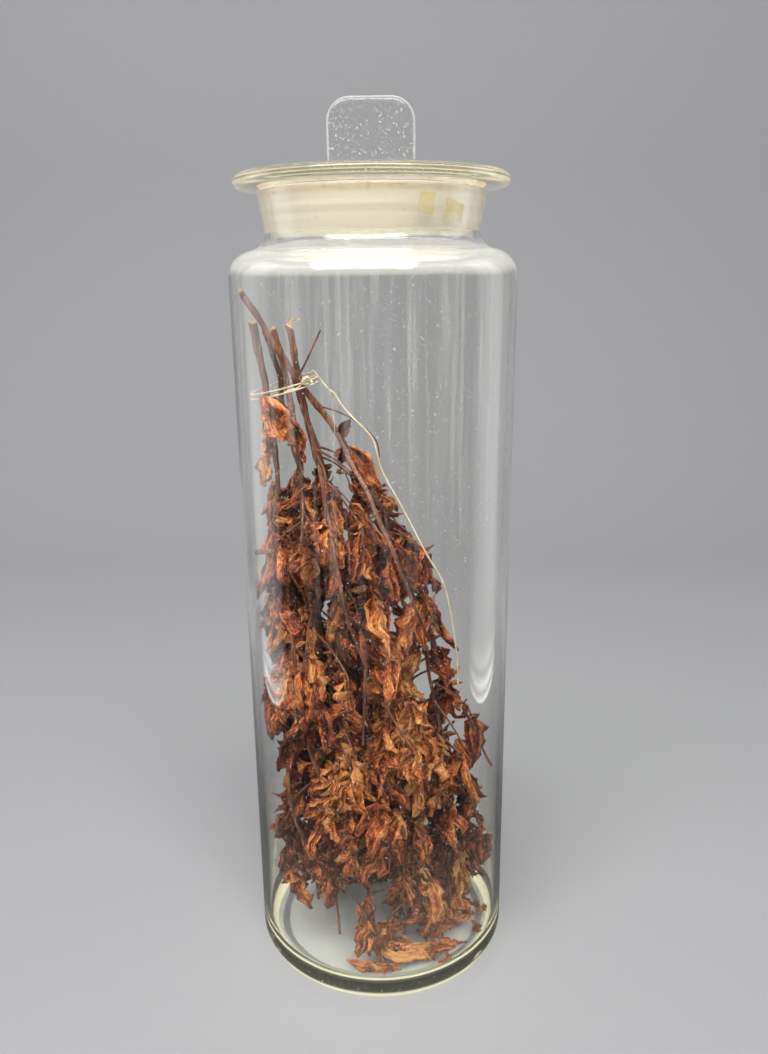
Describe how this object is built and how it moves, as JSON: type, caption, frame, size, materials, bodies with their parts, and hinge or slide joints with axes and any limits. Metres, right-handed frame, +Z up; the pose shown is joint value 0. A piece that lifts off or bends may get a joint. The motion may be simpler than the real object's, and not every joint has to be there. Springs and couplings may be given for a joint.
{
  "type": "apothecary bottle",
  "caption": "Tall cylindrical clear-glass apothecary jar with a rounded shoulder, flared neck and ground glass stopper with a finger tab, holding a tied bundle of dried herb.",
  "frame": {"origin": "centre of the ring that the bottle stands on, in the plane of the surface below it", "axes": "+Z up along the bottle's axis; the stopper's finger tab is broad along X and thin along Y; -Y is the side that the picture looks at, with the herb leaning towards -X at its top"},
  "size_m": [0.127, 0.127, 0.4084],
  "materials": {
    "bottle_glass": "clear blown glass, ground frosted inside the neck",
    "stopper_glass": "clear pressed glass, ground frosted round the plug",
    "tape": "yellowed adhesive tape",
    "stem": "dry bark",
    "leaf": "dry, crumpled leaf",
    "string": "pale twisted string"
  },
  "bodies": {
    "bottle": {"bottle": "bottle_glass", "tape_left": "tape", "tape_right": "tape", "stem_1": "stem", "stem_2": "stem", "stem_3": "stem", "stem_4": "stem", "stem_5": "stem", "stem_6": "stem", "snapped_twig": "stem", "tendril": "stem", "hook_leaf": "leaf", "crown_leaf": "leaf", "flag_leaf": "leaf", "middle_spray_1": "leaf", "middle_spray_2": "leaf", "middle_spray_3": "leaf", "middle_spray_4": "leaf", "middle_spray_5": "leaf", "middle_spray_6": "leaf", "lower_spray_1": "leaf", "lower_spray_2": "leaf", "lower_spray_3": "leaf", "lower_spray_4": "leaf", "lower_spray_5": "leaf", "lower_spray_6": "leaf", "fallen_leaf_1": "leaf", "fallen_leaf_2": "leaf", "fallen_leaf_3": "leaf", "fallen_leaf_4": "leaf", "string_wrap": "string", "string_tail": "string"},
    "stopper": {"stopper": "stopper_glass"}
  },
  "joints": [
    {"name": "stopper_lift", "type": "slide", "parent": "bottle", "child": "stopper", "axis": [0, 0, 1], "range_m": [0, 0.06]}
  ]
}
